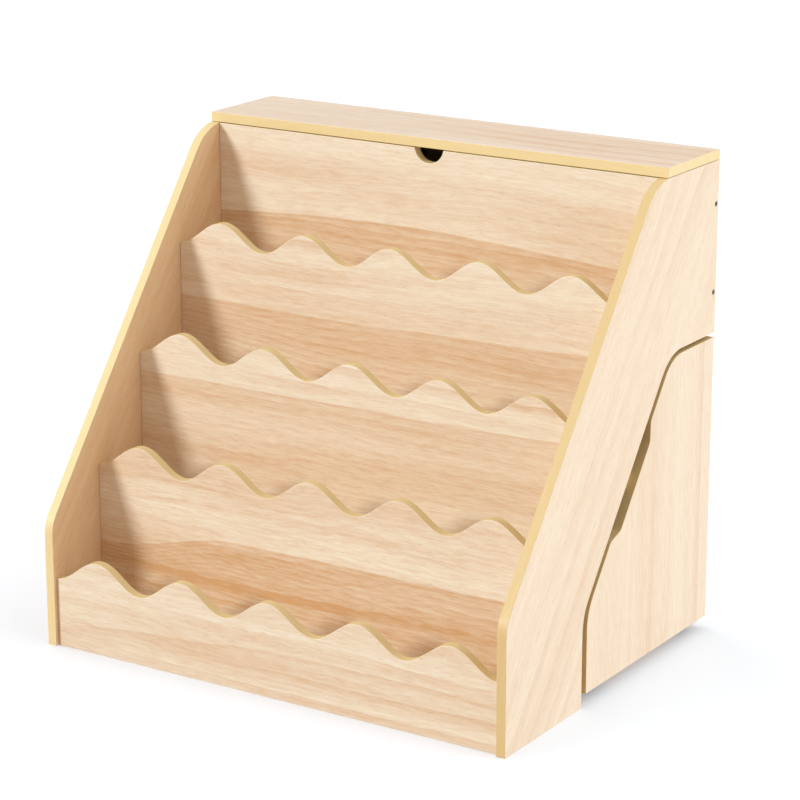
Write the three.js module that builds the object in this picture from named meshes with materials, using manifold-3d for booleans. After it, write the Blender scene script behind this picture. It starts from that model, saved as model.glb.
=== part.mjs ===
// Four-tier book display stand of laminated board, with a lidded compartment behind its
// backrest and a rolling cart that is parked under the tiers and pulls out to the right.
// Millimetres, +Z up, the front faces -Y. The origin is under the centre of the whole stand.

import * as THREE from "three";
import { mergeVertices } from "three/addons/utils/BufferGeometryUtils.js";
import Module from "manifold-3d";

const wasm = await Module();
wasm.setup();

// ---------------------------------------------------------------- driving dimensions

// Overall
const WIDTH = 800;
const DEPTH = 600;
const HEIGHT = 744;
const BOARD = 15; // thickness of every board
const JOINT_GAP = 0.3; // hairline between boards that butt against each other

// Side panels
const TOE_HEIGHT = 192; // where the front edge meets the line of the slope
const TOE_RADIUS = 50;
const SLOPE_TOP_SETBACK = 33; // the slope's line meets the top this far in front of the backrest
const SHOULDER_RADIUS = 80;
const FOOT_DEPTH = 212; // right panel's foot, in front of the cart
const STRAP_WIDTH = 201; // right panel's band between the slope and the cart
const BAY_CEILING_GAP = 9.6; // right panel's cut-out below the underside of the last shelf
const BAY_TOP_RADIUS = 70;
const BAY_FOOT_RADIUS = 80;

// Tiers
const TIER_COUNT = 4;
const RAIL_SETBACK = 6; // front rail behind the side panels' front edges
const FRONT_TROUGH = 106.3; // lowest point of the front rail's wavy top
const WAVE_RISE = 37; // from trough to crest
const WAVE_COUNT = 5;
const WAVE_STEPS = 14; // straight pieces in one wave
const BACKREST_SHOW = 168; // backrest above the last rail's troughs
const POCKET_DEPTH = 68; // pocket floor below the troughs of the rail in front of it

// Lid and finger notch
const LID_DEPTH = 163;
const LID_CLEARANCE = 0.6; // lid above the side panels
const BACKREST_CLEARANCE = 1.4; // lid above the backrest
const NOTCH_RADIUS = 25.3;
const NOTCH_RAISE = 3.8; // notch centre above the backrest's top

// Butt hinges
const HINGE_LENGTH = 60;
const HINGE_INSET = 120; // hinge centre from the side of the stand
const LEAF_THICKNESS = 0.9;
const LEAF_REACH = 13; // leaf on the board's edge
const LEAF_CLEARANCE = 0.3;
const KNUCKLE_RADIUS = 3;
const KNUCKLE_STANDOFF = 0.2; // knuckles behind the rear panel
const HINGE_PIN_RADIUS = 1.5;
const HINGE_PIN_CLEARANCE = 0.05;
const PIN_HEAD_RADIUS = 2.4;
const PIN_HEAD_LENGTH = 1.2;

// Confirmat screws through the side panels into the ends of the rear panel
const SCREW_HEAD_RADIUS = 4;
const SCREW_HEAD_LENGTH = 2.2;
const SCREW_SINK = 0.8; // head below the panel's face
const SCREW_SHANK_RADIUS = 2.5;
const SCREW_LENGTH = 48;
const SCREW_HOLE_CLEARANCE = 0.3;
const SCREW_END_INSET = 63; // screws from the rear panel's upper and lower edges

// Cart
const CART_FRONT_GAP = 12.8; // between the foot and the cart's end panel
const CART_SLOPE_GAP = 9.6;
const CART_TOP_GAP = 7;
const CART_REAR_INSET = 0.7;
const CART_GROUND_CLEARANCE = 18;
const CART_TOP_RADIUS = 64;
const CART_FOOT_RADIUS = 80;
const CART_LEFT_GAP = 12; // between the cart and the left side panel
const CART_BODY_SETBACK = 15.2; // inner end panel's front edge behind the outer one's
const CART_STEP_CLEARANCE = 5; // inner end panel below the steps of the tiers
const CART_SHELF_TOP = 265;
const CART_LOW_RAIL_HEIGHT = 80;
const CART_HIGH_RAIL_HEIGHT = 45;
const CART_RAIL_SETBACK = 3; // rails behind the end panels' outline
const GRIP_LENGTH = 190; // finger grip along the slope, at its mouth
const GRIP_DEPTH = 18;
const GRIP_END_RUN = 26; // length of each slanted end of the grip
const GRIP_ROUND = 16;
const GRIP_RAISE = 2.8; // grip's middle above the middle of the cart's slanted edge

// Swivel casters
const CASTER_HEADROOM = 12; // from the top of the wheel to the top of the plate
const CASTER_SWING_CLEARANCE = 2; // between a turning wheel and the cart's inner faces
const CASTER_FRONT_INSET = 34; // swivel axis from the front of the cart's floor
const CASTER_TRAIL = 11; // axle beside the swivel axis
const WHEEL_RADIUS = 15;
const WHEEL_WIDTH = 12;
const HUB_RADIUS = 6;
const HUB_LENGTH = 13;
const RIM_ROUND = 2;
const WEB_THICKNESS = 5;
const AXLE_RADIUS = 2.5;
const AXLE_HEAD_RADIUS = 4;
const AXLE_HEAD_LENGTH = 1.2;
const TURNING_CLEARANCE = 0.05; // radial, between a pin and its bore
const SHEET = 1.8; // steel sheet of the plates and forks
const SIDE_PLAY = 0.5; // between parts that turn beside each other
const CROWN_LENGTH = 22;
const CHEEK_TOP_WIDTH = 20;
const CHEEK_END_RADIUS = 6;
const PLATE_SIZE = 42;
const PLATE_ROUND = 5;
const KINGPIN_RADIUS = 3;
const KINGPIN_HEAD_RADIUS = 5;

const ROUND_SIDES = 24;
const SMALL_ROUND_SIDES = 16;
const ARC_STEP = Math.PI / 30;
const CUTTER_OVERRUN = 2; // cutters reach this far past the faces that they cut

// ---------------------------------------------------------------- derived places

const halfWidth = WIDTH / 2;
const innerHalf = halfWidth - BOARD;
const innerWidth = 2 * (innerHalf - JOINT_GAP);
const lidUnderside = HEIGHT - BOARD;
const sideTop = lidUnderside - LID_CLEARANCE;
const backrestTop = lidUnderside - BACKREST_CLEARANCE;
const backrestFront = DEPTH - LID_DEPTH;
const rearPanelFront = DEPTH - BOARD;
const rearPanelTop = lidUnderside - 3 * LEAF_CLEARANCE - 2 * LEAF_THICKNESS;

const tiers = Array.from({ length: TIER_COUNT }, (_, tier) => tier);
const tierRun = (backrestFront - RAIL_SETBACK) / TIER_COUNT;
const tierRise = (backrestTop - BACKREST_SHOW - FRONT_TROUGH) / (TIER_COUNT - 1);
const slopeTop = backrestFront - SLOPE_TOP_SETBACK;
const slopeAngle = Math.atan2(sideTop - TOE_HEIGHT, slopeTop);
const slopeRise = Math.tan(slopeAngle);

const hingeAxisY = DEPTH + KNUCKLE_STANDOFF + KNUCKLE_RADIUS;
const hingeAxisZ = lidUnderside - 1.5 * LEAF_CLEARANCE - LEAF_THICKNESS;
const overallDepth = hingeAxisY + KNUCKLE_RADIUS;

const casterHeight = 2 * WHEEL_RADIUS + CASTER_HEADROOM;
const casterInset = CASTER_TRAIL + WHEEL_RADIUS + CASTER_SWING_CLEARANCE;

// Height of the line that lies the given distance behind the slope's line, at depth y.
function slopeHeight(y, behind = 0) {
  return TOE_HEIGHT + y * slopeRise - behind / Math.cos(slopeAngle);
}

// Depth at which that line reaches height z.
function slopeDepth(z, behind = 0) {
  return (z - TOE_HEIGHT + behind / Math.cos(slopeAngle)) / slopeRise;
}

function railFront(tier) {
  return RAIL_SETBACK + tier * tierRun;
}

function troughHeight(tier) {
  return FRONT_TROUGH + tier * tierRise;
}

function shelfTop(tier) {
  return troughHeight(tier) - POCKET_DEPTH;
}

// Lowest rear corner of a tier's step, as [y, z].
function stepCorner(tier) {
  return [railFront(tier + 1) + BOARD, shelfTop(tier) - BOARD];
}

// Distance of a point behind the slope's line.
function distanceBehindSlope([y, z]) {
  return (slopeHeight(y) - z) * Math.cos(slopeAngle);
}

const bayHeight = shelfTop(TIER_COUNT - 1) - BOARD - BAY_CEILING_GAP;
const cartLeft = -innerHalf + CART_LEFT_GAP;
const cartFront = FOOT_DEPTH + CART_FRONT_GAP;
const cartBodyFront = cartFront + CART_BODY_SETBACK;
const cartRear = DEPTH - CART_REAR_INSET;
const cartTop = bayHeight - CART_TOP_GAP;
const cartFloorUnder = casterHeight + JOINT_GAP;
const cartFloorTop = cartFloorUnder + BOARD;
const cartBehind = STRAP_WIDTH + CART_SLOPE_GAP;
const steps = tiers.slice(0, -1).map((tier) => distanceBehindSlope(stepCorner(tier)));
const cartBodyBehind = Math.max(cartBehind, ...steps.map((step) => step + CART_STEP_CLEARANCE));

// ---------------------------------------------------------------- materials

function material(name, color, roughness, metalness = 0) {
  const made = new THREE.MeshStandardMaterial({ color, roughness, metalness });
  made.name = name;
  return made;
}

const laminate = material("laminate", 0xeed9b8, 0.5);
const steel = material("steel", 0xb9bcc0, 0.35, 0.9);
const darkSteel = material("dark_steel", 0x4a4640, 0.45, 0.8);
const wheelPlastic = material("wheel_plastic", 0x2b2c2e, 0.55);

// ---------------------------------------------------------------- geometry helpers

const stand = new THREE.Group();

function addMesh(name, geometry, meshMaterial, x, y, z) {
  const mesh = new THREE.Mesh(geometry, meshMaterial);
  mesh.name = name;
  mesh.position.set(x, y, z);
  stand.add(mesh);
  return mesh;
}

// A plain board whose lowest left front corner is at (x, y, z).
function addBoard(name, x, y, z, sizeX, sizeY, sizeZ) {
  const geometry = new THREE.BoxGeometry(sizeX, sizeY, sizeZ);
  geometry.translate(sizeX / 2, sizeY / 2, sizeZ / 2);
  return addMesh(name, geometry, laminate, x, y, z);
}

// Outline through the corners [u, v, radius], with an arc where the radius isn't zero.
function roundedShape(corners) {
  const points = [];
  corners.forEach(([u, v, radius = 0], index) => {
    const corner = new THREE.Vector2(u, v);
    if (radius === 0) {
      points.push(corner);
      return;
    }
    const before = corners[(index + corners.length - 1) % corners.length];
    const after = corners[(index + 1) % corners.length];
    points.push(...filletPoints(corner, before, after, radius));
  });
  return new THREE.Shape(points);
}

// Points of the arc that rounds a corner between its two neighbours.
function filletPoints(corner, before, after, radius) {
  const toBefore = new THREE.Vector2(before[0], before[1]).sub(corner);
  const toAfter = new THREE.Vector2(after[0], after[1]).sub(corner);
  const room = Math.min(toBefore.length(), toAfter.length()) * 0.95;
  toBefore.normalize();
  toAfter.normalize();
  const halfAngle = Math.acos(THREE.MathUtils.clamp(toBefore.dot(toAfter), -1, 1)) / 2;
  const reach = Math.min(radius / Math.tan(halfAngle), room);
  const trueRadius = reach * Math.tan(halfAngle);
  const toCentre = toBefore.clone().add(toAfter).normalize();
  const centre = corner.clone().addScaledVector(toCentre, trueRadius / Math.sin(halfAngle));
  const start = corner.clone().addScaledVector(toBefore, reach).sub(centre);
  const turn = Math.sign(start.cross(toBefore.clone().negate()));
  const sweep = Math.PI - 2 * halfAngle;
  const steps = Math.max(2, Math.ceil(sweep / ARC_STEP));
  const points = [];
  for (let step = 0; step <= steps; step += 1) {
    const angle = (turn * sweep * step) / steps;
    points.push(start.clone().rotateAround(new THREE.Vector2(0, 0), angle).add(centre));
  }
  return points;
}

// Extrudes a shape drawn in (y, z) along +X.
function extrudeAlongX(shape, length) {
  const geometry = new THREE.ExtrudeGeometry(shape, { depth: length, bevelEnabled: false });
  const basis = new THREE.Matrix4().makeBasis(
    new THREE.Vector3(0, 1, 0),
    new THREE.Vector3(0, 0, 1),
    new THREE.Vector3(1, 0, 0),
  );
  return geometry.applyMatrix4(basis);
}

// Extrudes a shape drawn in (x, z) along +Y.
function extrudeAlongY(shape, length) {
  const geometry = new THREE.ExtrudeGeometry(shape, { depth: length, bevelEnabled: false });
  geometry.rotateX(Math.PI / 2);
  return geometry.translate(0, length, 0);
}

function cylinderAlongX(radius, length, sides = ROUND_SIDES) {
  const geometry = new THREE.CylinderGeometry(radius, radius, length, sides);
  geometry.rotateZ(Math.PI / 2);
  return geometry.translate(length / 2, 0, 0);
}

function cylinderAlongY(radius, length, sides = ROUND_SIDES) {
  const geometry = new THREE.CylinderGeometry(radius, radius, length, sides);
  return geometry;
}

// Radius of a faceted bore whose flats clear a pin of the given radius.
function boreRadius(pinRadius, clearance, sides = ROUND_SIDES) {
  return (pinRadius + clearance) / Math.cos(Math.PI / sides);
}

function toSolid(geometry) {
  const bare = geometry.clone();
  bare.deleteAttribute("normal");
  bare.deleteAttribute("uv");
  const welded = mergeVertices(bare, 1e-4);
  const mesh = new wasm.Mesh({
    numProp: 3,
    vertProperties: new Float32Array(welded.attributes.position.array),
    triVerts: new Uint32Array(welded.index.array),
  });
  return new wasm.Manifold(mesh);
}

function toGeometry(solid) {
  const mesh = solid.getMesh();
  const geometry = new THREE.BufferGeometry();
  geometry.setAttribute("position", new THREE.BufferAttribute(mesh.vertProperties, 3));
  geometry.setIndex(new THREE.BufferAttribute(mesh.triVerts, 1));
  geometry.computeVertexNormals();
  return geometry;
}

function cut(geometry, cutters) {
  const solid = cutters.reduce((left, cutter) => left.subtract(toSolid(cutter)), toSolid(geometry));
  return toGeometry(solid);
}

function join(geometries) {
  const [first, ...others] = geometries.map(toSolid);
  return toGeometry(others.reduce((sum, other) => sum.add(other), first));
}

// ---------------------------------------------------------------- side panels

function frontCorners() {
  return [
    [slopeTop, sideTop, SHOULDER_RADIUS],
    [0, TOE_HEIGHT, TOE_RADIUS],
    [0, 0],
  ];
}

function leftPanelShape() {
  return roundedShape([...frontCorners(), [DEPTH, 0], [DEPTH, sideTop]]);
}

function rightPanelShape() {
  const bayCorner = slopeDepth(bayHeight, STRAP_WIDTH);
  return roundedShape([
    ...frontCorners(),
    [FOOT_DEPTH, 0],
    [FOOT_DEPTH, slopeHeight(FOOT_DEPTH, STRAP_WIDTH), BAY_FOOT_RADIUS],
    [bayCorner, bayHeight, BAY_TOP_RADIUS],
    [DEPTH, bayHeight],
    [DEPTH, sideTop],
  ]);
}

const screwHeights = [rearPanelTop - SCREW_END_INSET, bayHeight + SCREW_END_INSET];
const screwY = rearPanelFront + BOARD / 2;
const outwards = { left: -1, right: 1 };

// Stepped bore for a screw in a side panel, drawn in the panel's own place.
function panelScrewBores(side) {
  const sign = outwards[side];
  const throughRadius = SCREW_SHANK_RADIUS + SCREW_HOLE_CLEARANCE;
  const headRadius = SCREW_HEAD_RADIUS + SCREW_HOLE_CLEARANCE;
  const headDepth = SCREW_SINK + SCREW_HEAD_LENGTH + SCREW_HOLE_CLEARANCE;
  const through = boreFromFace(sign, throughRadius, BOARD + CUTTER_OVERRUN);
  const head = boreFromFace(sign, headRadius, headDepth);
  return screwHeights.flatMap((z) => [
    through.clone().translate(0, screwY, z),
    head.clone().translate(0, screwY, z),
  ]);
}

// A cylinder that starts just outside the side face and reaches the given depth into it.
function boreFromFace(sign, radius, depth) {
  const geometry = cylinderAlongX(radius, depth + CUTTER_OVERRUN, SMALL_ROUND_SIDES);
  const start = sign > 0 ? halfWidth - depth : -halfWidth - CUTTER_OVERRUN;
  return geometry.translate(start, 0, 0);
}

function addSidePanel(side, shape) {
  const start = side === "left" ? -halfWidth : innerHalf;
  const panel = extrudeAlongX(shape, BOARD).translate(start, 0, 0);
  addMesh(`side_panel_${side}`, cut(panel, panelScrewBores(side)), laminate, 0, 0, 0);
}

// ---------------------------------------------------------------- rails, shelves, backrest

// Wavy top that starts and ends at a trough, from left to right.
function wavePoints(width, trough) {
  const steps = WAVE_COUNT * WAVE_STEPS;
  return Array.from({ length: steps + 1 }, (_, step) => {
    const phase = (2 * Math.PI * WAVE_COUNT * step) / steps;
    const height = trough + (WAVE_RISE / 2) * (1 - Math.cos(phase));
    return new THREE.Vector2((width * step) / steps - width / 2, height);
  });
}

function addRail(tier) {
  const bottom = tier === 0 ? 0 : shelfTop(tier - 1) - BOARD;
  const half = innerWidth / 2;
  const feet = [new THREE.Vector2(half, 0), new THREE.Vector2(-half, 0)];
  const shape = new THREE.Shape([...wavePoints(innerWidth, troughHeight(tier) - bottom), ...feet]);
  addMesh(`rail_${tier + 1}`, extrudeAlongY(shape, BOARD), laminate, 0, railFront(tier), bottom);
}

// A level board as wide as the inside, butted between an upright in front and one behind.
function addFloor(name, frontUpright, rearUpright, top) {
  const front = frontUpright + BOARD + JOINT_GAP;
  const depth = rearUpright - JOINT_GAP - front;
  addBoard(name, -innerWidth / 2, front, top - BOARD, innerWidth, depth, BOARD);
}

// A pocket floor lies between its own rail and the next one, and the last one ends at the
// backrest, behind which the lidded compartment has its own floor at the same height.
function addFloors() {
  const uprights = [...tiers.map(railFront), backrestFront];
  tiers.forEach((tier) =>
    addFloor(`shelf_${tier + 1}`, uprights[tier], uprights[tier + 1], shelfTop(tier)),
  );
  addFloor("compartment_base", backrestFront, rearPanelFront, shelfTop(TIER_COUNT - 1));
}

function addBackrest() {
  const bottom = shelfTop(TIER_COUNT - 1) - BOARD;
  const panel = new THREE.BoxGeometry(innerWidth, BOARD, backrestTop - bottom);
  panel.translate(0, BOARD / 2, (backrestTop - bottom) / 2);
  const notch = cylinderAlongY(NOTCH_RADIUS, BOARD + 2 * CUTTER_OVERRUN, 2 * ROUND_SIDES);
  notch.translate(0, BOARD / 2, backrestTop - bottom + NOTCH_RAISE);
  addMesh("backrest_panel", cut(panel, [notch]), laminate, 0, backrestFront, bottom);
}

// The rear panel closes the compartment above the cart bay, with a blind bore for every screw.
function addRearPanel() {
  const height = rearPanelTop - bayHeight;
  const panel = new THREE.BoxGeometry(innerWidth, BOARD, height);
  panel.translate(0, rearPanelFront + BOARD / 2, bayHeight + height / 2);
  const radius = SCREW_SHANK_RADIUS + SCREW_HOLE_CLEARANCE;
  const depth = SCREW_SINK + SCREW_LENGTH + CUTTER_OVERRUN;
  const bores = Object.values(outwards).flatMap((sign) =>
    screwHeights.map((z) => boreFromFace(sign, radius, depth).translate(0, screwY, z)),
  );
  addMesh("rear_panel", cut(panel, bores), laminate, 0, 0, 0);
}

// ---------------------------------------------------------------- screws

// A flat-headed screw along X whose head's outer face is at the origin, pointing to -X.
function screwGeometry() {
  const profile = [
    [0, 0],
    [SCREW_HEAD_RADIUS, 0],
    [SCREW_HEAD_RADIUS, SCREW_HEAD_LENGTH],
    [SCREW_SHANK_RADIUS, SCREW_HEAD_LENGTH],
    [SCREW_SHANK_RADIUS, SCREW_LENGTH - SCREW_SHANK_RADIUS],
    [0, SCREW_LENGTH],
  ].map(([radius, height]) => new THREE.Vector2(radius, height));
  const geometry = new THREE.LatheGeometry(profile, SMALL_ROUND_SIDES);
  return geometry.rotateZ(Math.PI / 2);
}

function addScrews(side) {
  screwHeights.forEach((z, index) => {
    const x = outwards[side] * (halfWidth - SCREW_SINK);
    const screw = addMesh(`screw_${side}_${index + 1}`, screwGeometry(), darkSteel, x, screwY, z);
    screw.rotation.z = side === "left" ? Math.PI : 0;
  });
}

// ---------------------------------------------------------------- lid and hinges

function addLid() {
  addBoard("lid", -halfWidth, backrestFront, lidUnderside, WIDTH, LID_DEPTH, BOARD);
}

const knuckleLength = (HINGE_LENGTH - 2 * LEAF_CLEARANCE) / 3;
const knucklePitch = knuckleLength + LEAF_CLEARANCE;

// One leaf about the hinge axis: a plate in front of the axis, and a strip that joins it to each
// of the knuckles at the given places (-1, 0 or 1). The plate's height is its lower face's.
function leafGeometry(plateHeight, places) {
  const plateRear = -KNUCKLE_RADIUS - KNUCKLE_STANDOFF - LEAF_CLEARANCE;
  const plate = new THREE.BoxGeometry(HINGE_LENGTH, LEAF_REACH, LEAF_THICKNESS);
  plate.translate(0, plateRear - LEAF_REACH / 2, plateHeight + LEAF_THICKNESS / 2);
  const pieces = [plate];
  for (const place of places) {
    const stripLength = -plateRear - HINGE_PIN_RADIUS;
    const strip = new THREE.BoxGeometry(knuckleLength, stripLength, LEAF_THICKNESS);
    const stripCentre = plateRear + stripLength / 2 - LEAF_CLEARANCE;
    strip.translate(place * knucklePitch, stripCentre, plateHeight + LEAF_THICKNESS / 2);
    const knuckle = cylinderAlongX(KNUCKLE_RADIUS, knuckleLength);
    knuckle.translate(place * knucklePitch - knuckleLength / 2, 0, 0);
    pieces.push(strip, knuckle);
  }
  const bore = cylinderAlongX(boreRadius(HINGE_PIN_RADIUS, HINGE_PIN_CLEARANCE), HINGE_LENGTH + 2);
  bore.translate(-HINGE_LENGTH / 2 - 1, 0, 0);
  return cut(join(pieces), [bore]);
}

function hingePinGeometry() {
  const half = HINGE_LENGTH / 2;
  const shaft = cylinderAlongX(HINGE_PIN_RADIUS, HINGE_LENGTH + 2 * LEAF_CLEARANCE + 1);
  shaft.translate(-half - LEAF_CLEARANCE - 0.5, 0, 0);
  const head = cylinderAlongX(PIN_HEAD_RADIUS, PIN_HEAD_LENGTH);
  const rightHead = head.clone().translate(half + LEAF_CLEARANCE, 0, 0);
  const leftHead = head.clone().translate(-half - LEAF_CLEARANCE - PIN_HEAD_LENGTH, 0, 0);
  return join([shaft, rightHead, leftHead]);
}

function addHinge(name, x) {
  const bodyPlate = -LEAF_CLEARANCE / 2 - LEAF_THICKNESS;
  const lidPlate = LEAF_CLEARANCE / 2;
  const place = [x, hingeAxisY, hingeAxisZ];
  addMesh(`${name}_body_leaf`, leafGeometry(bodyPlate, [-1, 1]), steel, ...place);
  addMesh(`${name}_lid_leaf`, leafGeometry(lidPlate, [0]), steel, ...place);
  addMesh(`${name}_pin`, hingePinGeometry(), steel, ...place);
}

// ---------------------------------------------------------------- cart

const alongSlope = new THREE.Vector2(Math.cos(slopeAngle), Math.sin(slopeAngle));
const behindSlope = new THREE.Vector2(Math.sin(slopeAngle), -Math.cos(slopeAngle));

// Outline of an end panel from its front edge, with its slanted edge the given distance behind
// the slope's line, and with optional corners of the grip in that edge.
function cartEndShape(front, behind, gripCorners = []) {
  return roundedShape([
    [front, CART_GROUND_CLEARANCE],
    [cartRear, CART_GROUND_CLEARANCE],
    [cartRear, cartTop],
    [slopeDepth(cartTop, behind), cartTop, CART_TOP_RADIUS],
    ...gripCorners,
    [front, slopeHeight(front, behind), CART_FOOT_RADIUS],
  ]);
}

// The finger grip is a shallow recess in the middle of the slanted edge, from its upper end to
// its lower end.
function gripCorners() {
  const middleHeight = (slopeHeight(cartFront, cartBehind) + cartTop) / 2 + GRIP_RAISE;
  const middle = new THREE.Vector2(slopeDepth(middleHeight, cartBehind), middleHeight);
  const mouth = GRIP_LENGTH / 2;
  const inner = mouth - GRIP_END_RUN;
  const corner = (along, deep, radius) => {
    const point = middle.clone().addScaledVector(alongSlope, along);
    point.addScaledVector(behindSlope, deep);
    return [point.x, point.y, radius];
  };
  return [
    corner(mouth, 0, GRIP_ROUND),
    corner(inner, GRIP_DEPTH, GRIP_ROUND),
    corner(-inner, GRIP_DEPTH, GRIP_ROUND),
    corner(-mouth, 0, GRIP_ROUND),
  ];
}

function addCartEnds() {
  const outerShape = cartEndShape(cartFront, cartBehind, gripCorners());
  addMesh("cart_end_right", extrudeAlongX(outerShape, BOARD), laminate, innerHalf, 0, 0);
  const innerShape = cartEndShape(cartBodyFront, cartBodyBehind);
  addMesh("cart_end_left", extrudeAlongX(innerShape, BOARD), laminate, cartLeft, 0, 0);
}

const cartSpanStart = cartLeft + BOARD + JOINT_GAP;
const cartSpan = innerHalf - JOINT_GAP - cartSpanStart;
const cartBackFront = cartRear - BOARD;

// Front face of a rail whose top is at height z, kept behind the outline of the end panels.
function cartRailFront(z) {
  return Math.max(cartBodyFront, slopeDepth(z, cartBodyBehind)) + CART_RAIL_SETBACK;
}

// A level board of the cart behind a rail that covers its front edge and stands above it.
function addCartLevel(boardName, railName, boardTop, railHeight) {
  const railFace = cartRailFront(boardTop + railHeight);
  const boardFront = railFace + BOARD + JOINT_GAP;
  const boardDepth = cartBackFront - JOINT_GAP - boardFront;
  const bottom = boardTop - BOARD;
  addBoard(boardName, cartSpanStart, boardFront, bottom, cartSpan, boardDepth, BOARD);
  addBoard(railName, cartSpanStart, railFace, bottom, cartSpan, BOARD, BOARD + railHeight);
}

function addCartBoards() {
  const backHeight = cartTop - CART_GROUND_CLEARANCE;
  addBoard("cart_back", cartSpanStart, cartBackFront, CART_GROUND_CLEARANCE, cartSpan, BOARD, backHeight);
  addCartLevel("cart_floor", "cart_rail_low", cartFloorTop, CART_LOW_RAIL_HEIGHT);
  addCartLevel("cart_shelf", "cart_rail_high", CART_SHELF_TOP, CART_HIGH_RAIL_HEIGHT);
}

// ---------------------------------------------------------------- casters

const cheekInner = HUB_LENGTH / 2 + SIDE_PLAY;
const cheekOuter = cheekInner + SHEET;
const crownTop = casterHeight - SHEET - SIDE_PLAY;

// A flat plate about the swivel axis, with rounded corners and its lower face at height z.
function plateGeometry(lengthX, lengthY, z) {
  const shape = roundedShape([
    [-lengthX / 2, -lengthY / 2, PLATE_ROUND],
    [lengthX / 2, -lengthY / 2, PLATE_ROUND],
    [lengthX / 2, lengthY / 2, PLATE_ROUND],
    [-lengthX / 2, lengthY / 2, PLATE_ROUND],
  ]);
  const geometry = new THREE.ExtrudeGeometry(shape, { depth: SHEET, bevelEnabled: false });
  return geometry.translate(0, 0, z);
}

function cylinderAlongZ(radius, bottom, top, sides = SMALL_ROUND_SIDES) {
  const geometry = new THREE.CylinderGeometry(radius, radius, top - bottom, sides);
  geometry.rotateX(Math.PI / 2);
  return geometry.translate(0, 0, (top + bottom) / 2);
}

// Top plate with the kingpin that carries the fork's crown.
function casterPlateGeometry() {
  const plateBottom = casterHeight - SHEET;
  const headTop = crownTop - SHEET - SIDE_PLAY;
  const kingpin = cylinderAlongZ(KINGPIN_RADIUS, headTop - SHEET / 2, plateBottom + SHEET / 2);
  const head = cylinderAlongZ(KINGPIN_HEAD_RADIUS, headTop - SHEET, headTop);
  return join([plateGeometry(PLATE_SIZE, PLATE_SIZE, plateBottom), kingpin, head]);
}

// Crown with a bore for the kingpin, and two cheeks that slant back to the axle.
function forkGeometry() {
  const crown = plateGeometry(CROWN_LENGTH, 2 * cheekOuter, crownTop - SHEET);
  const cheekShape = roundedShape([
    [-CHEEK_TOP_WIDTH / 2, crownTop - SHEET / 2],
    [CASTER_TRAIL - CHEEK_END_RADIUS, WHEEL_RADIUS - CHEEK_END_RADIUS, 0.8 * CHEEK_END_RADIUS],
    [CASTER_TRAIL + CHEEK_END_RADIUS, WHEEL_RADIUS - CHEEK_END_RADIUS, 0.8 * CHEEK_END_RADIUS],
    [CHEEK_TOP_WIDTH / 2, crownTop - SHEET / 2],
  ]);
  const nearCheek = extrudeAlongY(cheekShape, SHEET).translate(0, -cheekOuter, 0);
  const farCheek = extrudeAlongY(cheekShape, SHEET).translate(0, cheekInner, 0);
  const kingpinBoreRadius = boreRadius(KINGPIN_RADIUS, TURNING_CLEARANCE, SMALL_ROUND_SIDES);
  const kingpinBore = cylinderAlongZ(kingpinBoreRadius, crownTop - 2 * SHEET, crownTop + SHEET);
  const axleBoreRadius = boreRadius(AXLE_RADIUS, TURNING_CLEARANCE, SMALL_ROUND_SIDES);
  const axleBore = cylinderAlongY(axleBoreRadius, 2 * cheekOuter + CUTTER_OVERRUN, SMALL_ROUND_SIDES);
  axleBore.translate(CASTER_TRAIL, 0, WHEEL_RADIUS);
  return cut(join([crown, nearCheek, farCheek]), [kingpinBore, axleBore]);
}

// Wheel turned about Y: a tyre with rounded edges, a recessed web and a hub with a bore.
function wheelGeometry() {
  const halfTyre = WHEEL_WIDTH / 2;
  const halfHub = HUB_LENGTH / 2;
  const bore = boreRadius(AXLE_RADIUS, TURNING_CLEARANCE, SMALL_ROUND_SIDES);
  const rimInner = WHEEL_RADIUS - 2 * RIM_ROUND;
  const rightHalf = [
    [bore, halfHub],
    [HUB_RADIUS, halfHub],
    [HUB_RADIUS, WEB_THICKNESS / 2],
    [rimInner, WEB_THICKNESS / 2],
    [rimInner, halfTyre],
    [WHEEL_RADIUS - RIM_ROUND, halfTyre],
    [WHEEL_RADIUS, halfTyre - RIM_ROUND],
  ].reverse();
  const leftHalf = rightHalf.map(([radius, height]) => [radius, -height]).reverse();
  const ring = [...leftHalf, ...rightHalf, leftHalf[0]];
  const outline = ring.map(([radius, height]) => new THREE.Vector2(radius, height));
  return new THREE.LatheGeometry(outline, ROUND_SIDES);
}

function axleGeometry() {
  const reach = cheekOuter + SIDE_PLAY;
  const shaft = cylinderAlongY(AXLE_RADIUS, 2 * reach + AXLE_HEAD_LENGTH, SMALL_ROUND_SIDES);
  const head = cylinderAlongY(AXLE_HEAD_RADIUS, AXLE_HEAD_LENGTH, SMALL_ROUND_SIDES);
  const offset = reach + AXLE_HEAD_LENGTH / 2;
  const nearHead = head.clone().translate(0, -offset, 0);
  const farHead = head.clone().translate(0, offset, 0);
  return join([shaft, nearHead, farHead]);
}

// The forks trail towards the right, as they do after the cart has been pushed in.
function addCasters() {
  const floorFront = cartRailFront(cartFloorTop + CART_LOW_RAIL_HEIGHT);
  const columns = { left: cartSpanStart + casterInset, right: innerHalf - casterInset };
  const rows = { front: floorFront + CASTER_FRONT_INSET, rear: cartBackFront - casterInset };
  for (const [row, y] of Object.entries(rows)) {
    for (const [column, x] of Object.entries(columns)) {
      const name = `caster_${row}_${column}`;
      addMesh(`${name}_plate`, casterPlateGeometry(), steel, x, y, 0);
      addMesh(`${name}_fork`, forkGeometry(), steel, x, y, 0);
      addMesh(`${name}_wheel`, wheelGeometry(), wheelPlastic, x + CASTER_TRAIL, y, WHEEL_RADIUS);
      addMesh(`${name}_axle`, axleGeometry(), steel, x + CASTER_TRAIL, y, WHEEL_RADIUS);
    }
  }
}

// ---------------------------------------------------------------- assembly

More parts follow.
